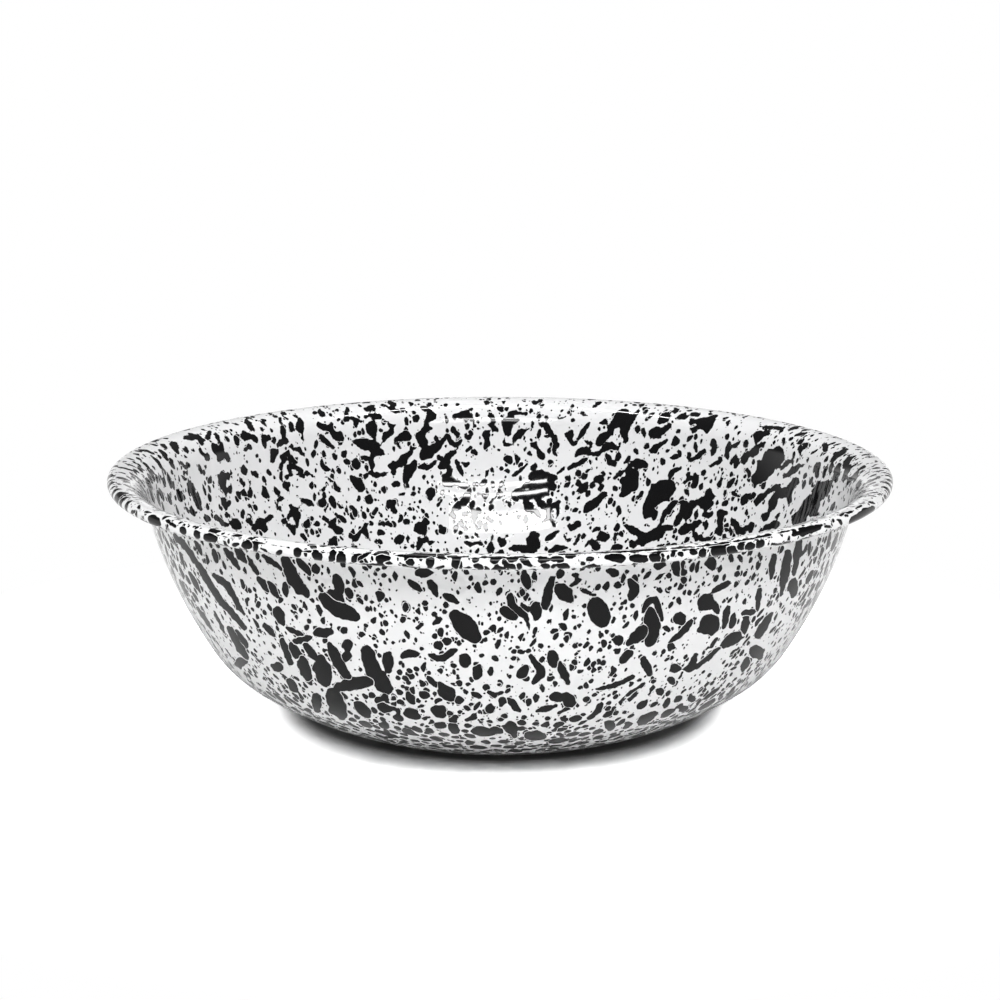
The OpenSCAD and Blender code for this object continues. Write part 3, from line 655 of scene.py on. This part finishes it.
class Throw(NamedTuple):
    """Marks of one size: how many, the ranges of their half-widths and half-lengths, and their
    usual tilt from the meridian, in degrees."""
    count: int
    half_w: tuple
    half_run: tuple
    tilt: float = 0.0


# Places tried for each thrown mark
TRIES = 8
# Widest half-width of a thrown mark where the larger ones were read from the photograph
READ_HALF_W = 1.0
# Spread of the marks' tilt from the meridian, in degrees, and of their bend, as a share of
# their half-length
TILT_SPREAD = 28
BEND_SPREAD = 0.25
# Half-width of a mark's ends, as a share of its half-width in the middle
THROWN_END = (0.35, 1)
# Range of the least gap that a thrown mark keeps to its neighbours. Below zero, they may touch.
LEAST_GAP = (-0.3, 0.35)
# Height under which the marks lie closer, and how many times as likely a mark is there
CROWDED_H = 34
CROWDING = 3.8
# Half-width above which thrown marks have lobes, and how many at most
LOBED_HALF_W = 1.2
THROWN_LOBES = 5


def try_mark(canvas, area, half_w, half_run, usual_tilt, rng):
    """Strokes of a mark at a random place on a canvas, or None where it doesn't fit. area is the
    canvas's area up to each row."""
    row = np.searchsorted(area, rng.uniform(0, area[-1]))
    share = rng.uniform()
    tilt = math.radians(rng.normal(usual_tilt, TILT_SPREAD))
    bend = rng.normal(0, BEND_SPREAD) * half_run
    gap = rng.uniform(*LEAST_GAP)
    ways = canvas.ways[row] + np.array([-1, 0, 1]) * half_run * math.cos(tilt)
    across = np.array([-1, 0, 1]) * half_run * math.sin(tilt) + [0, bend, 0]
    # Close to the axis, the longer radius keeps a mark from running round it
    shares = share + across / (FULL_TURN * max(canvas.radius[row], half_run + 1))
    if ways.min() < 0 or ways.max() > canvas.ways[-1]:
        return None
    rows, columns = canvas.nearest(ways, shares)
    if canvas.read[rows[1], columns[1]] and half_w > READ_HALF_W:
        return None
    depths = canvas.depths[:, rows, columns]
    if depths.max() > -half_w - gap:
        return None
    group = int(np.argmin(depths.max(axis=1)))
    widths = half_w * np.array([rng.uniform(*THROWN_END), 1, rng.uniform(*THROWN_END)])
    strokes = joined_strokes(canvas.face.place(ways, shares), widths, group)
    if half_w > LOBED_HALF_W:
        strokes = ragged(strokes, rng.integers(THROWN_LOBES + 1), rng)
    return Strokes(*map(np.asarray, strokes))


def throw(canvas, throws, rng):
    """Throws marks on a canvas, the largest first, each beside those that lie there already.
    Returns the strokes."""
    area = np.cumsum(canvas.radius * np.where(canvas.height < CROWDED_H, CROWDING, 1))
    parts = []
    for size in throws:
        for _ in range(size.count):
            half_w = rng.uniform(*size.half_w)
            half_run = rng.uniform(*size.half_run)
            for _ in range(TRIES):
                strokes = try_mark(canvas, area, half_w, half_run, size.tilt, rng)
                if strokes is not None:
                    canvas.add(strokes)
                    parts.append(strokes)
                    break
    return gathered(parts)


# Half-widths at even steps along a mark over the rim, as shares of its half-width
WRAP_SHAPE = np.array([0.7, 1, 1.05, 1, 0.6])


def wrap(centre_share, half_w, over, slant, group):
    """Strokes that lead a mark over the rolled rim. over is the range of the sheet's slopes."""
    slopes = np.linspace(*over, len(WRAP_SHAPE))
    shares = centre_share + slant * np.linspace(-1, 1, len(WRAP_SHAPE)) / (FULL_TURN * RIM_R)
    section = roll_turn.points(slopes, WALL_T)
    angles = FULL_TURN * shares
    corners = np.stack([section[:, 0] * np.cos(angles), section[:, 0] * np.sin(angles),
                        section[:, 1]], axis=-1)
    return Strokes(*map(np.asarray, joined_strokes(corners, half_w * WRAP_SHAPE, group)))


# Slopes of the sheet between which a mark over the rim starts and between which it ends
WRAP_FROM = (-40, 10)
WRAP_TO = (-200, -90)
# Spread of a mark's shift round the rim from its middle to its end
SLANT_SPREAD = 0.8
# Half-widths of the small and of the large marks over the rim, the share that are small, and
# the gaps between marks
SMALL_WRAP = (0.6, 2)
LARGE_WRAP = (1.5, 5)
SMALL_WRAPS = 0.75
WRAP_GAP = (0.5, 7)


def rim_mark(share, half_w, rng, group):
    """Strokes of one mark over the rim, or of two side by side where it is wider than the bead."""
    over = (rng.uniform(*WRAP_FROM), rng.uniform(*WRAP_TO))
    slant = rng.normal(0, SLANT_SPREAD)
    if half_w < BEAD_R:
        return wrap(share, half_w, over, slant, group)
    spread = (half_w - BEAD_R) / (FULL_TURN * RIM_R)
    return gathered([wrap(share - spread, BEAD_R, over, slant, group),
                     wrap(share + spread, BEAD_R, over, slant, group)])


def thrown_wraps(rng, first_share, last_share):
    """Marks over the rim from one share of a turn to another."""
    parts = []
    share = first_share
    while share < last_share:
        half_w = rng.choice([rng.uniform(*SMALL_WRAP), rng.uniform(*LARGE_WRAP)],
                            p=[SMALL_WRAPS, 1 - SMALL_WRAPS])
        gap = rng.uniform(*WRAP_GAP)
        share += (half_w + gap / 2) / (FULL_TURN * RIM_R)
        parts.append(rim_mark(share, half_w, rng, len(parts) % GROUPS))
        share += (half_w + gap / 2) / (FULL_TURN * RIM_R)
    return gathered(parts)


# Canvases: inside and outside from the axis to the crest, and the outside of the roll

def rows_along(length, step, start=0.0):
    """Even distances from start to length, at most a step apart."""
    count = math.ceil((length - start) / step)
    return np.linspace(start, length, count + 1)


def side_canvas(depth, side):
    """Canvas over one side of the bowl, and the number of its row on the seam between base and
    wall."""
    face = Face(base_turns + wall_turns, depth, from_axis=True)
    seam = Face(base_turns, depth, from_axis=True).length
    ways = np.concatenate([rows_along(seam, ROW_STEP), rows_along(face.length, ROW_STEP, seam)[1:]])
    return Canvas(face, ways, side), math.ceil(seam / ROW_STEP)


outside, outside_seam = side_canvas(0, 1)
inside, inside_seam = side_canvas(WALL_T, -1)
roll_face = Face([roll_turn], WALL_T)
roll = Canvas(roll_face, rows_along(roll_face.length, RIM_ROW_STEP), -1)

# The crest of the rim hides the inside below it, seen over its near half
CREST_POINTS = 181
near_crest = inside.face.place(inside.face.length, np.linspace(0.5, 1, CREST_POINTS))
near_crest_places, _ = photo_place(near_crest)
inside_places, _ = photo_place(inside.points)
inside.shown &= inside_places[..., 1] < np.interp(inside_places[..., 0], *near_crest_places.T)

# Marks to throw on each canvas, from the largest to the smallest
OUTSIDE_THROWS = [Throw(240, (2.4, 3.8), (0.4, 3.0)), Throw(2300, (1.3, 2.3), (0.4, 2.8)),
                  Throw(5900, (0.75, 1.3), (0.1, 1.9))]
INSIDE_THROWS = [Throw(260, (2.4, 4.6), (0.5, 3.6)), Throw(1800, (1.3, 2.4), (0.5, 3.2)),
                 Throw(3700, (0.75, 1.3), (0.2, 2.3))]
RIM_THROWS = [Throw(40, (1.2, 2.2), (0.4, 1.6)), Throw(60, (0.7, 1.2), (0.3, 2.0)),
              Throw(420, (0.45, 0.8), (1.2, 4.0), 85)]
# Windows of the photograph, top left and bottom right, in which its larger marks were read
OUTSIDE_WINDOW = ((215, 550), (800, 692))
INSIDE_WINDOW = ((172, 396), (865, 552))
RIM_WINDOW = ((150, 500), (880, 572))
# What the marks read on the rim gain in half-width, in the photograph's pixels
RIM_SWELL = 0.6
# Shares of a turn between which marks are thrown over the rim: its far half and a little more
THROWN_RIM = (-0.05, 0.575)
SEED = 12

rng = np.random.default_rng(SEED)
outside.add_read(read_strokes(OUTSIDE_MARKS, GROUPS, rng), OUTSIDE_WINDOW)
inside.add_read(read_strokes(INSIDE_MARKS, 1, rng), INSIDE_WINDOW)
roll.add_read(read_strokes(RIM_MARKS, GROUPS, rng, RIM_SWELL), RIM_WINDOW)
rim_strokes = thrown_wraps(rng, *THROWN_RIM)
inside.add(rim_strokes)
roll.add(rim_strokes)
inside.add(throw(roll, RIM_THROWS, rng))
throw(outside, OUTSIDE_THROWS, rng)
roll.add(throw(inside, INSIDE_THROWS, rng))


# Glaze skins as closed meshes of revolution

class Row(NamedTuple):
    """One ring of a skin's points, with the directions that they face and their mark depths."""
    points: np.ndarray
    normals: np.ndarray
    depths: np.ndarray
    seen: bool


# Radii inside which a ring keeps every fourth and every second column
QUARTER_R = 26.0
HALF_R = 52.0
# Radius inside which a ring is one point
POINT_R = 0.001


def canvas_rows(canvas, first, last):
    """Rows of a skin's visible face, with fewer columns near the axis."""
    rows = []
    for number in range(first, last + 1):
        radius = canvas.radius[number]
        thin = 1 if radius > HALF_R else 2 if radius > QUARTER_R else 4
        columns = slice(0, 1) if radius < POINT_R else slice(0, None, thin)
        rows.append(Row(canvas.points[number, columns], canvas.normals[number, columns],
                        canvas.depths[:, number, columns], True))
    return rows


# Farthest that a hidden face goes from one row to the next, in millimetres and in degrees
HIDDEN_STEP = 8.0
HIDDEN_TURN = 12.0


def hidden_rows(face, side):
    """Rows of a face that lies against the ground coat or in the roll's hollow."""
    turned = np.concatenate([[0], np.cumsum(np.abs(np.diff(face.slopes)))])
    effort = face.way / HIDDEN_STEP + turned / HIDDEN_TURN
    at = np.linspace(0, effort[-1], math.ceil(effort[-1]) + 1)
    canvas = Canvas(face, np.interp(at, effort, face.way), side)
    rows = canvas_rows(canvas, 0, len(canvas.ways) - 1)
    return [row._replace(depths=np.full_like(row.depths, FAR_OUT), seen=False) for row in rows]


def ring_side(row, first, faces):
    """Numbers of a row's points at the corners of each face on it, and their shares of a turn."""
    columns = len(row.points)
    if columns == 1:
        return np.full((faces, 1), first), (np.arange(faces)[:, None] + 0.5) / faces
    steps = columns // faces
    at = np.arange(faces)[:, None] * steps + np.arange(steps + 1)
    return first + at % columns, at / columns


# Layout of the baked pictures, as shares of their side: the gaps, the strip for the hidden
# faces, and the disc that a base is laid out as
MAP_GAP = 0.006
HIDDEN_SHARE = 0.05
DISC_R = 0.455
DISC_MIDDLE = np.array([0.5, 0.54])
BASE_SEAM_R = outside.radius[outside_seam]


class Unrolled:
    """Lays a ring's faces out as level strips, one over the other."""

    def __init__(self, strips):
        self.strips = strips

    def lay(self, corners, shares, heights, seen):
        low, high = (HIDDEN_SHARE, 1) if seen else (0, HIDDEN_SHARE)
        pitch = (high - low) / self.strips
        gap = MAP_GAP if seen else MAP_GAP / 2
        strip = (np.arange(len(shares)) * self.strips // len(shares))[:, None]
        across = MAP_GAP + (shares * self.strips - strip) * (1 - 2 * MAP_GAP)
        up = low + strip * pitch + gap / 2 + heights * (pitch - gap)
        return np.stack([across, up], axis=-1)


class Disc(Unrolled):
    """Lays the seen faces out as they look from above, and the others as a strip."""

    def lay(self, corners, shares, heights, seen):
        if not seen:
            return super().lay(corners, shares, heights, seen)
        return DISC_MIDDLE + corners[..., :2] * (DISC_R / BASE_SEAM_R)


def skin_faces(rows, seen_count, points, layout):
    """Faces from each row to the next, round to the first, and their corners' places in the
    baked picture. The rows of the visible face come first, and seen_count is their number."""
    counts = [len(row.points) for row in rows]
    firsts = np.concatenate([[0], np.cumsum(counts)]).tolist()
    faces, places = [], []
    for number, row in enumerate(rows):
        above = (number + 1) % len(rows)
        if counts[number] == counts[above] == 1:
            continue
        seen = above and row.seen and rows[above].seen
        fewer, more = sorted([counts[number], counts[above]])
        count = more if fewer == 1 else fewer
        low, low_shares = ring_side(row, firsts[number], count)
        high, high_shares = ring_side(rows[above], firsts[above], count)
        corners = np.hstack([low, high[:, ::-1]])
        shares = np.hstack([low_shares, high_shares[:, ::-1]])
        ends = np.array([number, number + 1])
        if seen:
            ends = ends / (seen_count - 1)
        else:
            ends = (ends - seen_count + 1) / (len(rows) - seen_count + 1)
        heights = np.repeat(ends, [low.shape[1], high.shape[1]])
        places.append(layout.lay(points[corners], shares, heights, seen).reshape(-1, 2))
        faces.extend(corners.tolist())
    return faces, np.concatenate(places)


# How much longer the noise and the small dots are along the wall than round it
STRETCH = 1.45


def make_skin(name, seen_rows, hidden, layout, glaze, slot, *nodes):
    """A closed mesh from rows in order round its section. It stands for the CAD nodes."""
    rows = seen_rows + hidden
    points = np.concatenate([row.points for row in rows])
    faces, places = skin_faces(rows, len(seen_rows), points, layout)
    mesh = bpy.data.meshes.new(name)
    mesh.from_pydata((points * MM).tolist(), [], faces)
    mesh.shade_smooth()
    bake_map = mesh.uv_layers.new(name="OFBake")
    bake_map.data.foreach_set("uv", places.ravel())
    for group, key in enumerate(["depth_a", "depth_b"]):
        depths = np.concatenate([row.depths[group] for row in rows])
        mesh.attributes.new(key, "FLOAT", "POINT").data.foreach_set("value", depths)
    lie = points / [1, 1, STRETCH]
    mesh.attributes.new("lie", "FLOAT_VECTOR", "POINT").data.foreach_set("vector", lie.ravel())
    mesh.normals_split_custom_set_from_vertices(np.concatenate([row.normals for row in rows]).tolist())
    mesh.materials.append(glaze)
    piece = bpy.data.objects.new(name, mesh)
    bpy.context.scene.collection.objects.link(piece)
    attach(piece, "root")
    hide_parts(*nodes)


# Finishes

class Amount:
    """An output of a node. Sums, differences and products of numbers that change over a surface
    add Math nodes."""

    def __init__(self, finish, socket):
        self.finish = finish
        self.socket = socket

    def other(self, name):
        """Another output of the same node."""
        return Amount(self.finish, self.socket.node.outputs[name])

    def __add__(self, value):
        return self.finish.math("ADD", self, value)

    def __sub__(self, value):
        return self.finish.math("SUBTRACT", self, value)

    def __rsub__(self, value):
        return self.finish.math("SUBTRACT", value, self)

    def __mul__(self, value):
        return self.finish.math("MULTIPLY", self, value)

    __radd__ = __add__
    __rmul__ = __mul__


class Finish:
    """A node tree under construction, with one way to add a node to it."""

    def __init__(self, tree):
        self.tree = tree
        tree.nodes.clear()

    def node(self, kind, settings=None, sockets=None, output=0):
        """Adds a node, with its settings first and then its sockets' values or links."""
        made = self.tree.nodes.new("ShaderNode" + kind)
        for name, value in (settings or {}).items():
            setattr(made, name, value)
        for name, value in (sockets or {}).items():
            if isinstance(value, Amount):
                self.tree.links.new(value.socket, made.inputs[name])
            else:
                made.inputs[name].default_value = value
        return Amount(self, made.outputs[output]) if made.outputs else None

    def math(self, operation, *values):
        return self.node("Math", {"operation": operation}, dict(enumerate(values)))

    def vector(self, operation, *values):
        return self.node("VectorMath", {"operation": operation}, dict(enumerate(values)))

    def mix(self, factor, first, second):
        """A colour between two colours."""
        return self.node("Mix", {"data_type": "RGBA"}, {0: factor, 6: first, 7: second}, output=2)

    def largest(self, *values):
        found = values[0]
        for value in values[1:]:
            found = self.math("MAXIMUM", found, value)
        return found

    def smooth_step(self, value, first, last):
        """From 0 to 1 as a value goes from first to last."""
        ends = {"Value": value, "From Min": first, "From Max": last}
        return self.node("MapRange", {"interpolation_type": "SMOOTHSTEP"}, ends)

    def past(self, place, near, far):
        """From 0 to 1 as a place's distance from the middle goes from near to far."""
        away = self.node("VectorMath", {"operation": "LENGTH"}, {0: place}, output="Value")
        return self.smooth_step(away, near, far)

    def inside_edge(self, depth, soft):
        """From 0 outside a mark to 1 inside it, over a soft edge of this half-width."""
        return self.smooth_step(depth, -soft, soft)

    def lie(self, shift=0.0):
        """Place on the glaze in millimetres, shifted so that layers of noise differ."""
        place = self.node("Attribute", {"attribute_name": "lie"}).other("Vector")
        return self.vector("ADD", place, (shift, shift, shift))

    def stirred_lie(self, shift, size, amount):
        """Place on the glaze, pushed about by noise of this size, by about this many millimetres."""
        sockets = {"Vector": self.lie(), "Scale": 1 / size}
        noise = self.node("TexNoise", {"noise_dimensions": "3D"}, sockets)
        push = self.vector("MULTIPLY", self.vector("SUBTRACT", noise.other("Color"), (0.5, 0.5, 0.5)),
                           (amount, amount, amount))
        return self.vector("ADD", self.lie(shift), push)

    def noise(self, size, detail=2.0, shift=0.0):
        """Smooth noise about zero, with lumps of about this size in millimetres."""
        sockets = {"Vector": self.lie(shift), "Scale": 1 / size, "Detail": detail}
        return self.node("TexNoise", {"noise_dimensions": "3D"}, sockets) - 0.5

    def dots(self, spacing, largest, shift):
        """Depth in small round dots of mixed sizes, in millimetres."""
        place = self.stirred_lie(shift, spacing * 1.3, spacing * 0.7)
        sockets = {"Vector": place, "Scale": 1 / spacing}
        cells = self.node("TexVoronoi", {"voronoi_dimensions": "3D", "feature": "F1"}, sockets)
        chance = self.node("SeparateColor", {"mode": "RGB"}, {"Color": cells.other("Color")})
        return chance * largest - cells * spacing

    def bump(self, height):
        """Normals of a surface that is raised by a height in millimetres."""
        return self.node("Bump", None, {"Strength": 1.0, "Distance": MM, "Height": height})


def finished(name, shade):
    """A material whose surface is what shade returns for its tree."""
    material = bpy.data.materials.new(name)
    material.use_nodes = True
    finish = Finish(material.node_tree)
    finish.node("OutputMaterial", None, {"Surface": shade(finish)})
    return material


# Colours between which each coat and the steel vary, and those of the splatter
OUTSIDE_WHITE = [(0.80, 0.80, 0.802, 1), (0.74, 0.744, 0.75, 1)]
INSIDE_WHITE = [(0.81, 0.81, 0.815, 1), (0.75, 0.752, 0.76, 1)]
GROUND_BLUE = [(0.012, 0.016, 0.035, 1), (0.03, 0.035, 0.06, 1)]
STEEL_GREY = [(0.32, 0.32, 0.33, 1), (0.47, 0.47, 0.48, 1)]
OUTSIDE_BLACK = (0.003, 0.003, 0.0033, 1)
INSIDE_BLACK = (0.004, 0.004, 0.0045, 1)
PURE_WHITE = (1, 1, 1, 1)

# Layers of small dots: their spacing, the radius of the largest, and the shift of their places
DOTS = [(1.9, 0.66, 5), (2.9, 1.05, 17), (4.6, 1.6, 41)]
# White that stays between a dot and a mark
DOT_GAP = 0.2
# Half-widths of the soft edge of a mark's black and of its raised glaze, and how high it stands
BLACK_EDGE = 0.07
RAISED_EDGE = 0.3
RAISED_H = 0.02


def speckled_glaze(whites, black, gloss, stir, threads, fewer):
    """White glaze with black splatter fused into it. gloss is its specular level, stir how far
    the marks' edges wander, threads whether thin white lines part the marks, and fewer how much
    the dots shrink."""
    def shade(finish):
        first = finish.node("Attribute", {"attribute_name": "depth_a"}).other("Fac")
        second = finish.node("Attribute", {"attribute_name": "depth_b"}).other("Fac")
        # The marks' edges wander
        wobble = finish.noise(6.0, 1.0, 11) * 1.1 + finish.noise(3.0, 2.0, 3) * 1.3
        marks = finish.largest(first, second) + wobble * stir
        if threads:
            thread_w = finish.noise(5.0, 1.0, 23) * 0.6 + 0.16
            marks = finish.math("MINIMUM", marks, finish.math("ABSOLUTE", first - second) - thread_w)
        # The dots come in drifts and stay off the marks
        dots = finish.largest(*(finish.dots(*layer) for layer in DOTS))
        dots = dots + finish.noise(17, 1.0, 7) * 1.1 - fewer
        dots = finish.math("MINIMUM", dots, -DOT_GAP - marks)
        depth = finish.largest(marks, dots)
        covered = finish.inside_edge(depth, BLACK_EDGE)
        cloud = finish.node("Clamp", None, {"Value": finish.noise(14, 3.0, 71) + 0.4})
        # The black stands a little higher than the white, and all of the glaze ripples
        raised = finish.inside_edge(depth, RAISED_EDGE) * RAISED_H
        ripple = finish.noise(9, 1.0, 97) * 0.02 + finish.noise(2.4, 1.0, 61) * 0.002
        return finish.node("BsdfPrincipled", None, {
            "Base Color": finish.mix(covered, finish.mix(cloud, *whites), black),
            "Roughness": finish.noise(6, 2.0, 33) * 0.02 + (0.02 + covered * 0.01),
            "IOR": 1.5,
            "Specular IOR Level": gloss,
            "Normal": finish.bump(raised + ripple),
        })
    return shade


def ground_glaze(finish):
    """Blue-black ground coat. Its mottle and pits need a mesh that carries the lie attribute, and
    without it the coat is even."""
    mottle = finish.node("Clamp", None, {"Value": finish.noise(4, 3.0) + 0.5})
    return finish.node("BsdfPrincipled", None, {
        "Base Color": finish.mix(mottle, *GROUND_BLUE),
        "Roughness": mottle * 0.15 + 0.2,
        "Normal": finish.bump(finish.noise(0.8, 2.0) * 0.03),
    })


def pressed_steel(finish):
    """Pickled sheet steel. Its fine scratches need a mesh that carries the lie attribute, and
    without it the steel is even."""
    scratch = finish.node("Clamp", None, {"Value": finish.noise(0.6, 4.0) + 0.5})
    return finish.node("BsdfPrincipled", None, {
        "Base Color": finish.mix(scratch, *STEEL_GREY),
        "Metallic": 1.0,
        "Roughness": scratch * 0.2 + 0.35,
        "Normal": finish.bump(scratch * 0.01),
    })


def paint_node(name, material):
    """Gives a CAD node one material."""
    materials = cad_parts[name].data.materials
    materials.clear()
    materials.append(material)


outside_glaze = finished("outside_glaze", speckled_glaze(
    OUTSIDE_WHITE, OUTSIDE_BLACK, gloss=0.18, stir=1.0, threads=True, fewer=0.0))
inside_glaze = finished("inside_glaze", speckled_glaze(
    INSIDE_WHITE, INSIDE_BLACK, gloss=0.4, stir=2.0, threads=False, fewer=0.12))
ground_coat = finished("ground_coat", ground_glaze)
paint_node("steel_bowl", finished("pressed_steel", pressed_steel))
paint_node("ground_coat_inside", ground_coat)
paint_node("ground_coat_outside", ground_coat)

make_skin("outside_glaze_base", canvas_rows(outside, 0, outside_seam),
          hidden_rows(Face(base_turns, COVER_T, from_axis=True), 1)[::-1],
          Disc(1), outside_glaze, "cover_coat", "cover_coat_outside")
make_skin("outside_glaze_wall", canvas_rows(outside, outside_seam, len(outside.ways) - 1),
          hidden_rows(Face(wall_turns, COVER_T), 1)[::-1],
          Unrolled(3), outside_glaze, "cover_coat", "cover_coat_outside")
make_skin("inside_glaze_base", canvas_rows(inside, 0, inside_seam)[::-1],
          hidden_rows(Face(base_turns, IN_COVER, from_axis=True), 1),
          Disc(1), inside_glaze, "cover_coat", "cover_coat_inside")
make_skin("inside_glaze_wall", canvas_rows(inside, inside_seam, len(inside.ways) - 1)[::-1],
          hidden_rows(Face(wall_turns, IN_COVER), 1),
          Unrolled(3), inside_glaze, "cover_coat", "cover_coat_inside")

# The ground coat under the rim's skin ends short of the roll's end
ground_end = roll_turn.last + math.degrees(COVER_T / BEAD_R)
roll_to_ground = roll_turn._replace(last=ground_end)
make_skin("rim_glaze", canvas_rows(roll, 0, len(roll.ways) - 1)[::-1],
          hidden_rows(Face([roll_to_ground], IN_COVER), -1)
          + hidden_rows(Face([roll_to_ground], COVER_T), 1)[::-1]
          + hidden_rows(Face([roll_turn], 0), 1),
          Unrolled(4), outside_glaze, "cover_coat", "cover_coat_outside")


# Light, floor and white surroundings, with lengths in metres

# What the lamps face
LIT_PLACE = Vector((0, 0, 0.05))


def make_lamp(name, distance, bearing, rise, size, power):
    """A soft rectangular lamp at a distance in metres from the bowl. bearing is how far round
    from the front it stands, and rise is how high, both in degrees. power is in watts. Returns
    the lamp."""
    light = bpy.data.lights.new(name, "AREA")
    light.shape = "RECTANGLE"
    light.size, light.size_y = size
    light.energy = power
    lamp = bpy.data.objects.new(name, light)
    round_way, up_way = math.radians(bearing), math.radians(rise)
    way = Vector((math.sin(round_way) * math.cos(up_way), -math.cos(round_way) * math.cos(up_way),
                  math.sin(up_way)))
    lamp.location = LIT_PLACE + distance * way
    lamp.rotation_euler = (-way).to_track_quat("-Z", "Y").to_euler()
    bpy.context.scene.collection.objects.link(lamp)
    return lamp


FLOOR_R = 25.0
FLOOR_SIDES = 96
# The floor's colour for the light, for the eye, and for the eye under the bowl, where it is a painted
# shade
FLOOR_PAPER = (0.94, 0.94, 0.94, 1)
FLOOR_SEEN = (3.6, 3.6, 3.6, 1)
FLOOR_PAINTED_SHADE = (0.3, 0.3, 0.3, 1)
# Middle of the painted shade under the bowl, and the distances from it over which that painted shade
# ends
PAINTED_SHADE_MIDDLE = (0, 0.018, 0)
PAINTED_SHADE_R = (0.08, 0.094)
# Distances from the bowl's axis over which the floor turns into plain white for the eye
SHADED_R = 0.13
WHITE_R = 0.3


def white_floor(finish):
    """White paper that stays white to the eye where no shadow falls. Under the bowl a painted shade
    darkens it for the eye.
    """
    path = finish.node("LightPath")
    watched = finish.largest(path.other("Is Camera Ray"), path.other("Is Glossy Ray"),
                             path.other("Is Transmission Ray"))
    place = finish.node("NewGeometry").other("Position")
    # Under the bowl the paper is painted darker for the eye: a painted shade on top of the lamps' real
    # shadow
    beyond_painted_shade = finish.past(finish.vector("SUBTRACT", place, PAINTED_SHADE_MIDDLE), *PAINTED_SHADE_R)
    seen = finish.mix(beyond_painted_shade, FLOOR_PAINTED_SHADE, FLOOR_SEEN)
    colour = finish.mix(path.other("Is Camera Ray"), FLOOR_PAPER, seen)
    paper = finish.node("BsdfDiffuse", None, {"Color": colour})
    far = finish.past(place, SHADED_R, WHITE_R)
    plain = finish.node("Emission", None, {"Color": PURE_WHITE, "Strength": 1.0})
    return finish.node("MixShader", None, {0: watched * far, 1: paper, 2: plain})


def make_floor():
    mesh = bpy.data.meshes.new("studio_floor")
    angles = np.linspace(0, FULL_TURN, FLOOR_SIDES, endpoint=False)
    ring = np.stack([np.cos(angles), np.sin(angles), 0 * angles], axis=-1) * FLOOR_R
    mesh.from_pydata(ring.tolist(), [], [list(range(FLOOR_SIDES))])
    mesh.materials.append(finished("white_paper", white_floor))
    floor = bpy.data.objects.new("studio_floor", mesh)
    bpy.context.scene.collection.objects.link(floor)


# Strength of the light from all round
WORLD_LIGHT = 0.4
# What the glaze mirrors of the room above the backdrop
ROOM_SEEN = 0.16
# Height in a reflection's direction over which the white backdrop gives way to the room
BACKDROP_TOP = (0.04, 0.24)


def white_surroundings():
    world = bpy.data.worlds.new("white_room")
    world.use_nodes = True
    bpy.context.scene.world = world
    finish = Finish(world.node_tree)
    path = finish.node("LightPath")
    way = finish.node("TexCoord").other("Generated")
    up = finish.node("SeparateXYZ", None, {0: way}, output="Z")
    low = finish.smooth_step(up, *reversed(BACKDROP_TOP))
    mirrored = finish.largest(path.other("Is Glossy Ray"), path.other("Is Transmission Ray"))
    watched = finish.largest(path.other("Is Camera Ray"), mirrored * low)
    room = mirrored * (ROOM_SEEN - WORLD_LIGHT) + WORLD_LIGHT
    strength = watched * (1 - room) + room
    background = finish.node("Background", None, {"Color": PURE_WHITE, "Strength": strength})
    finish.node("OutputWorld", None, {"Surface": background})


make_floor()
white_surroundings()
# The glaze mirrors the three lamps in front. Those at the sides and the back only light the
# bowl, and the one on top only makes the thin line on the rim's crest.
make_lamp("main_softbox", 1.3, bearing=0, rise=44.5, size=(0.8, 0.13), power=8.0)
make_lamp("upper_strip", 1.3, bearing=3.5, rise=37.2, size=(0.9, 0.018), power=1.8)
make_lamp("lower_strip", 1.3, bearing=3.5, rise=34.55, size=(0.9, 0.018), power=1.8)
left = make_lamp("left_softbox", 1.3, bearing=-75, rise=40, size=(0.4, 0.3), power=3.2)
right = make_lamp("right_softbox", 1.3, bearing=75, rise=40, size=(0.4, 0.3), power=3.2)
back = make_lamp("back_softbox", 1.4, bearing=180, rise=55, size=(0.6, 0.5), power=4)
top = make_lamp("top_strip", 1.3, bearing=180, rise=80, size=(1.4, 0.05), power=12)
left.visible_glossy = right.visible_glossy = back.visible_glossy = False
top.visible_diffuse = False
bpy.context.scene.view_settings.view_transform = "Standard"
